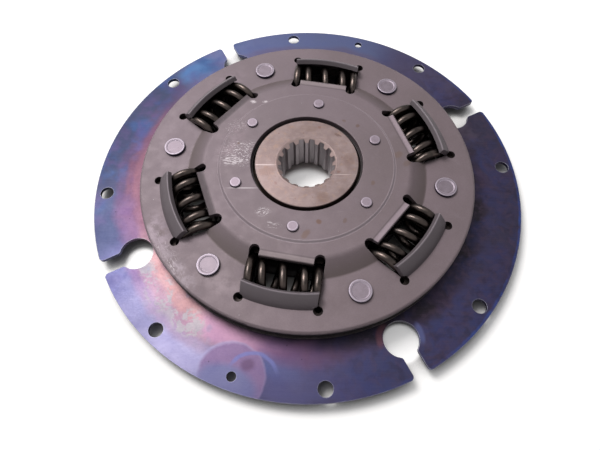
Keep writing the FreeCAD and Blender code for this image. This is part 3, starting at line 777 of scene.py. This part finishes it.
def layMarks(tree, colour, place, ragged):
    # stains, scuffs and smears of the face that the photo shows
    colour = layPatches(tree, colour, ragged, coatFinish["stains"])
    for at, half, turn, length, width, amount, scribble, share in coatFinish["scuffs"]:
        patch = patchMask(tree, ragged, at, half, turn, 0.5)
        lines = scratchMask(tree, place, turn, length, width, amount, scribble)
        colour = lay(tree, colour, times(tree, patch, lines), share, coatFinish["scuffTint"])
    smearCloud = ramp(tree, noise(tree, ragged, 6.5, 6.0, 0.65)["Fac"], 0.38, 0.6)
    colour = layPatches(tree, colour, ragged, coatFinish["smears"], smearCloud)
    return layPatches(tree, colour, place, coatFinish["thinLine"])


def makePhosphateCoat(name, marked):
    finish = coatFinish
    metal, tree, shader, disc = startMetal(name, finish["surface"])
    place = disc["Place"]
    broad = noise(tree, place, 46.0, 4.0, 0.55)["Fac"]
    colour = layer(tree, ramp(tree, broad, 0.3, 0.7), tint(*finish["shade"]), tint(*finish["ground"]))
    middling = noise(tree, place, 9.0, 6.0, 0.65)["Fac"]
    colour = layer(tree, ramp(tree, middling, 0.5, 0.85, 0.0, 0.6), colour, tint(*finish["pale"]))
    crystal = noise(tree, place, 0.9, 4.0, 0.7)["Fac"]
    colour = layer(tree, ramp(tree, crystal, 0.3, 0.7, 0.0, 0.25), colour, tint(150, 144, 146), "OVERLAY")
    if marked:
        colour = layMarks(tree, colour, place, wanderFrom(tree, place, 5.0, 1.0))
    colour = tellForms(tree, disc, colour)
    stray = finish["stray"]
    lines = scratchMask(tree, place, stray["turn"], stray["length"], stray["width"], stray["amount"])
    colour = lay(tree, colour, lines, 0.35, finish["strayTint"])
    colour = laySpecks(tree, colour, place, finish["specks"])
    colour = layWearAndHighlight(tree, colour, place, finish["wearAndHighlight"])
    grimeAndShadeShare = ramp(tree, disc["Radius"], 66.0, 76.0, *finish["grimeAndShade"]["share"])
    colour = layGrimeAndShade(tree, colour, place, finish["grimeAndShade"], grimeAndShadeShare)
    if not marked:
        # painted shade: near black deep inside the windows
        oilAndShade = finish["oilAndShade"]
        mask = useGroup(tree, cornerGrimeAndShade, {"Place": place, "Reach": oilAndShade["reach"]})["Mask"]
        mask = calc(tree, "MINIMUM", times(tree, mask, 1.6), oilAndShade["share"])
        colour = layer(tree, mask, colour, tint(*oilAndShade["tint"]))
    height = calc(tree, "ADD", crystal, times(tree, middling, 0.6))
    endMetal(tree, shader, finish["surface"], colour, middling, height)
    return metal


hubFinish = {
    "surface": {"metallic": 0.8, "roughness": (0.34, 0.54), "relief": 0.00003},
    "ground": (118, 102, 101),
    "pale": (134, 118, 117),
    "tan": (140, 116, 104),
    "oilAndShade": (38, 32, 31),
    "bore": (148, 140, 143),
    "chamfer": (186, 163, 160),
    "boreRadius": 25.0,
    "flangeRadius": 43.0,
    # middle, half size, turn, softness, tint, share
    "stains": [
        ((-27, -18), (7, 4), 30, 0.35, (112, 86, 76), 0.4),
        ((22, -27), (6, 4), -30, 0.35, (110, 86, 75), 0.4),
        ((31, 12), (4, 6), 10, 0.35, (106, 84, 77), 0.4),
        ((-8, 32), (8, 3), 10, 0.35, (112, 92, 82), 0.35),
        ((16, 33), (3, 1.2), -20, 0.35, (92, 72, 66), 0.7),
    ],
    "rust": [(6.0, 0.26, 0.4, (108, 76, 66), 0.5)],
    "rings": {"gap": 0.45, "tint": (100, 86, 84), "share": 0.14},
    "lines": {"turn": 17.7, "length": 9.0, "width": 0.35, "amount": 0.5},
    "lineTint": (158, 148, 150),
    "scratches": [
        ((-31.7, -13.4), (10.2, 0.4), 18, 0.3, (176, 162, 162), 0.7),
        ((29.8, -2.95), (6.9, 0.35), 18, 0.3, (176, 162, 162), 0.6),
    ],
    "wearAndHighlight": {"width": 0.0006, "patchy": 0.4, "tint": (172, 160, 162), "share": 0.6},
    "grimeAndShade": {"reach": 0.005, "tint": (52, 42, 40), "share": (0.25, 0.7)},  # grime and painted shade where faces meet; share in the bore, and outside it
}


def makeHubSteel():
    finish = hubFinish
    metal, tree, shader, disc = startMetal("hubSteel", finish["surface"])
    place, radius = disc["Place"], disc["Radius"]
    ragged = wanderFrom(tree, place, 5.0, 2.5)
    cloud = noise(tree, place, 7.0, 6.0, 0.65)["Fac"]
    colour = layer(tree, ramp(tree, cloud, 0.35, 0.68), tint(*finish["ground"]), tint(*finish["pale"]))
    rusty = noise(tree, ragged, 4.0, 6.0, 0.7)["Fac"]
    colour = layer(tree, ramp(tree, rusty, 0.5, 0.72, 0.0, 0.8), colour, tint(*finish["tan"]))
    colour = layPatches(tree, colour, ragged, finish["stains"])
    colour = laySpecks(tree, colour, ragged, finish["rust"])
    turned = finish["rings"]
    rings = useGroup(tree, turnedRings, {"Radius": radius, "Gap": turned["gap"]})["Lines"]
    colour = lay(tree, colour, rings, turned["share"], turned["tint"])
    fine = finish["lines"]
    lines = scratchMask(tree, place, fine["turn"], fine["length"], fine["width"], fine["amount"])
    colour = lay(tree, colour, lines, 0.35, finish["lineTint"])
    colour = layPatches(tree, colour, place, finish["scratches"])
    colour = layWearAndHighlight(tree, colour, place, finish["wearAndHighlight"])
    bore, flange = finish["boreRadius"], finish["flangeRadius"]
    grimeAndShadeShare = ramp(tree, radius, bore - 1.5, bore, *finish["grimeAndShade"]["share"])
    colour = layGrimeAndShade(tree, colour, place, finish["grimeAndShade"], grimeAndShadeShare)
    level = facing(tree)
    inBore = ramp(tree, radius, bore, bore - 0.7)
    colour = lay(tree, colour, inBore, ramp(tree, level, 0.97, 0.9), finish["chamfer"])
    colour = lay(tree, colour, inBore, ramp(tree, level, 0.3, 0.15), finish["bore"])
    # painted shade on the hub outside the flange radius
    colour = layer(tree, ramp(tree, radius, flange, flange + 3, 0.0, 0.92), colour, tint(*finish["oilAndShade"]))
    height = calc(tree, "ADD", rings, times(tree, lines, -0.6))
    endMetal(tree, shader, finish["surface"], colour, cloud, height)
    return metal


upsetSurface = {"metallic": 0.7, "roughness": (0.44, 0.6), "relief": 0.00002}
rivetFinish = {
    "rivetSteel": {
        "ground": (132, 121, 131),
        "shade": (122, 111, 120),
        "pale": (190, 181, 196),
        "oilAndShade": (62, 53, 58),
        "side": (32, 26, 56),
        "dishWallLight": {"height": 11.3, "tint": (190, 176, 190), "share": 0.85},  # painted light on the slanted dish wall; height in mm from the mid plane
        "rimHighlight": {"circle": 110.2, "first": 8, "radius": 7.75, "half": 0.34, "share": 0.45},
    },
    "washerRivetSteel": {
        "ground": (142, 129, 140),
        "shade": (130, 118, 128),
        "pale": (196, 186, 200),
        "oilAndShade": (64, 55, 58),
        "side": (36, 30, 56),
        "rimHighlight": {"circle": 58.26, "first": 38, "radius": 3.5, "half": 0.4, "share": 0.25},
    },
    "blackenedSteel": {
        "ground": (56, 51, 53),
        "shade": (42, 38, 39),
        "pale": (96, 90, 92),
        "oilAndShade": (28, 25, 25),
        "side": (44, 40, 42),
    },
}


def makeUpsetSteel(name):
    finish = rivetFinish[name]
    metal, tree, shader, disc = startMetal(name, upsetSurface)
    place = disc["Place"]
    cloud = noise(tree, place, 4.0, 5.0, 0.6)["Fac"]
    colour = layer(tree, ramp(tree, cloud, 0.3, 0.7), tint(*finish["shade"]), tint(*finish["ground"]))
    pits = useGroup(tree, specks, {"Place": place, "Gap": 2.6, "Size": 0.16, "Amount": 0.35})["Mask"]
    colour = lay(tree, colour, pits, 0.45, finish["oilAndShade"])
    lines = scratchMask(tree, place, 40.0, 3.0, 0.25, 0.5)
    colour = lay(tree, colour, lines, 0.25, finish["pale"])
    level = facing(tree)
    steep = ramp(tree, level, 0.5, 0.2)
    # painted shade on the upright sides of the heads
    colour = lay(tree, colour, steep, 0.95, finish["side"])
    # painted light on the slanted dish wall
    if "dishWallLight" in finish:
        dishLight = finish["dishWallLight"]
        off = offBy(tree, disc["Height"], discMiddle)
        slanted = calc(tree, "SUBTRACT", ramp(tree, level, 0.95, 0.85), steep, clamp=True)
        slanted = times(tree, slanted, ramp(tree, off, dishLight["height"] - 0.05, dishLight["height"] + 0.05))
        colour = lay(tree, colour, slanted, dishLight["share"], dishLight["tint"])
    # worn edges and a painted edge highlight
    wornAndGlint = useGroup(tree, edgeWearAndHighlight, {"Place": place, "Width": 0.0008, "Patchy": 0.15})["Mask"]
    colour = lay(tree, colour, wornAndGlint, calc(tree, "SUBTRACT", 0.7, steep, clamp=True), finish["pale"])
    if "rimHighlight" in finish:
        # painted highlight: a bright ring along the edge of each head
        rimHighlight = finish["rimHighlight"]
        rimGlint = 0.0
        for count in range(6):
            turn = math.radians(rimHighlight["first"] + 60 * count)
            centre = (rimHighlight["circle"] * math.cos(turn), rimHighlight["circle"] * math.sin(turn))
            rimGlint = calc(tree, "MAXIMUM", ringMask(tree, place, centre, rimHighlight["radius"], rimHighlight["half"]), rimGlint)
        rimGlint = times(tree, rimGlint, calc(tree, "SUBTRACT", 1.0, steep))
        colour = lay(tree, colour, rimGlint, rimHighlight["share"], finish["pale"])
    # grime and painted shade round the heads
    colour = layGrimeAndShade(tree, colour, place, {"reach": 0.003, "tint": finish["oilAndShade"], "share": 0.15})
    fine = noise(tree, place, 0.7, 3.0)["Fac"]
    height = calc(tree, "ADD", fine, times(tree, pits, -1.5))
    endMetal(tree, shader, upsetSurface, colour, cloud, height)
    return metal


springFinish = {
    "surface": {"metallic": 1.0, "roughness": (0.24, 0.34), "relief": 0.00002},
    "ground": (66, 60, 58),
    "warm": (90, 80, 76),
    "drawn": (92, 80, 76),
    "pits": (26, 22, 22),
    # grime and painted shade where the coils crowd
    "grimeAndShade": {"reach": 0.004, "tint": (20, 16, 16), "share": 0.6},
}


def makeSpringWire():
    finish = springFinish
    metal, tree, shader, disc = startMetal("springWire", finish["surface"])
    place = disc["Place"]
    cloud = noise(tree, place, 6.0, 5.0, 0.6)["Fac"]
    colour = layer(tree, ramp(tree, cloud, 0.35, 0.7), tint(*finish["ground"]), tint(*finish["warm"]))
    drawn = noise(tree, place, 0.8, 3.0, 0.6)["Fac"]
    colour = layer(tree, ramp(tree, drawn, 0.55, 0.8, 0.0, 0.4), colour, tint(*finish["drawn"]))
    pits = useGroup(tree, specks, {"Place": place, "Gap": 2.2, "Size": 0.14, "Amount": 0.3})["Mask"]
    colour = lay(tree, colour, pits, 0.6, finish["pits"])
    colour = layGrimeAndShade(tree, colour, place, finish["grimeAndShade"])
    height = calc(tree, "SUBTRACT", drawn, pits)
    endMetal(tree, shader, finish["surface"], colour, cloud, height, rounding=0)
    return metal


liningFinish = {
    "surface": {"metallic": 0.0, "roughness": (0.75, 0.95), "relief": 0.0001},
    "ground": (66, 54, 44),
    "fibre": (122, 100, 74),
    "dust": (92, 84, 78),
}


def makeFrictionLining():
    finish = liningFinish
    metal, tree, shader, disc = startMetal("frictionLining", finish["surface"])
    place = disc["Place"]
    cloud = noise(tree, place, 3.0, 5.0, 0.65)["Fac"]
    colour = layer(tree, ramp(tree, cloud, 0.35, 0.7), tint(*finish["ground"]), tint(*finish["dust"]))
    colour = lay(tree, colour, scratchMask(tree, place, 60.0, 4.0, 0.4, 0.8), 0.6, finish["fibre"])
    endMetal(tree, shader, finish["surface"], colour, cloud, cloud)
    return metal


finishOf = {
    "drive_plate": makeTemperedBlue(),
    "front_side_plate": makePhosphateCoat("phosphateCoat", True),
    "rear_side_plate": makePhosphateCoat("phosphateCoatRear", False),
    "hub": makeHubSteel(),
    "stop_rivet": makeUpsetSteel("rivetSteel"),
    "small_rivet": makeUpsetSteel("washerRivetSteel"),
    "thrust_ring": makeUpsetSteel("blackenedSteel"),
    "coil_spring": makeSpringWire(),
    "friction_washer": makeFrictionLining(),
}
finishOf["disc_spring"] = finishOf["thrust_ring"]
for name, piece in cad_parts.items():
    finish = next(metal for word, metal in finishOf.items() if word in name)
    for place in piece.material_slots:
        place.material = finish
print("finishes laid on", len(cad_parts), "pieces")


# coil springs, wound again as smooth wire
coilSpring = {
    "wireRadius": 0.003,
    "coilRadius": 0.0138,
    "axisRadius": 0.0952,  # circle that the springs' middles stand on
    "openTurns": 2.6,  # between the two closed ends
    "endTurns": 1.3,
    "openHalf": 0.02013,  # half the length of the open turns
    "endPitch": 0.0069,
    "groundHalf": 0.0279,  # the ends are ground flat here
    "softTurns": 0.16,  # turns over which the pitch changes
    "stepsPerTurn": 56,
    "sides": 20,
    "sharpAngle": 38,  # degrees, for the rim of the ground ends
    "squeezed": 0.79,  # length left at the end of the hub's twist
}


def coilLine(turns):
    # place along the spring's axis after so many turns from its middle
    spring = coilSpring
    half = spring["openTurns"] / 2
    openPitch = spring["openHalf"] / half
    soft = spring["softTurns"]
    eased = soft * math.log1p(math.exp((abs(turns) - half) / soft))
    along = openPitch * abs(turns) - (openPitch - spring["endPitch"]) * eased
    return math.copysign(along, turns)


def windSpring(number):
    spring = coilSpring
    low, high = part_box("coil_spring_%d" % number)
    middle = (Vector(low) + Vector(high)) / 2
    outward = Vector((middle.x, middle.y, 0)).normalized()
    onward = Vector((-outward.y, outward.x, 0))
    centre = outward * spring["axisRadius"] + Vector((0, 0, middle.z))
    lastTurn = spring["openTurns"] / 2 + spring["endTurns"]
    steps = int(2 * lastTurn * spring["stepsPerTurn"])
    nudge = 0.002  # turns to either side, for the way the wire runs

    def point(turns):
        angle = math.pi / 2 - 2 * math.pi * turns
        across = spring["coilRadius"] * math.cos(angle)
        upward = spring["coilRadius"] * math.sin(angle)
        return centre + outward * across + onward * coilLine(turns) + Vector((0, 0, upward))

    points, faces = [], []
    for step in range(steps + 1):
        turns = -lastTurn + 2 * lastTurn * step / steps
        here = point(turns)
        along = (point(turns + nudge) - point(turns - nudge)).normalized()
        inward = here - centre
        inward = (inward - onward * inward.dot(onward)).normalized()
        across = along.cross(inward).normalized()
        inward = across.cross(along)
        for side in range(spring["sides"]):
            turn = 2 * math.pi * side / spring["sides"]
            spot = here + spring["wireRadius"] * (math.cos(turn) * inward + math.sin(turn) * across)
            offset = (spot - centre).dot(onward)
            limit = max(-spring["groundHalf"], min(spring["groundHalf"], offset))
            points.append(spot + onward * (limit - offset))
    for step in range(steps):
        for side in range(spring["sides"]):
            following = (side + 1) % spring["sides"]
            first, second = step * spring["sides"], (step + 1) * spring["sides"]
            faces.append((first + side, first + following, second + following, second + side))
    faces.append(tuple(reversed(range(spring["sides"]))))
    faces.append(tuple(steps * spring["sides"] + side for side in range(spring["sides"])))
    mesh = bpy.data.meshes.new("springCoil%d" % number)
    mesh.from_pydata([tuple(spot) for spot in points], [], faces)
    mesh.validate()
    mesh.update()
    mesh.shade_smooth()
    mesh.set_sharp_from_angle(angle=math.radians(spring["sharpAngle"]))
    mesh.materials.append(finishOf["coil_spring"])
    coil = bpy.data.objects.new("springCoil%d" % number, mesh)
    bpy.context.scene.collection.objects.link(coil)
    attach(coil, "spring_side")
    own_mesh(coil)
    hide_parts("coil_spring_%d" % number)


for number in range(1, 7):
    windSpring(number)
print("six coil springs wound")
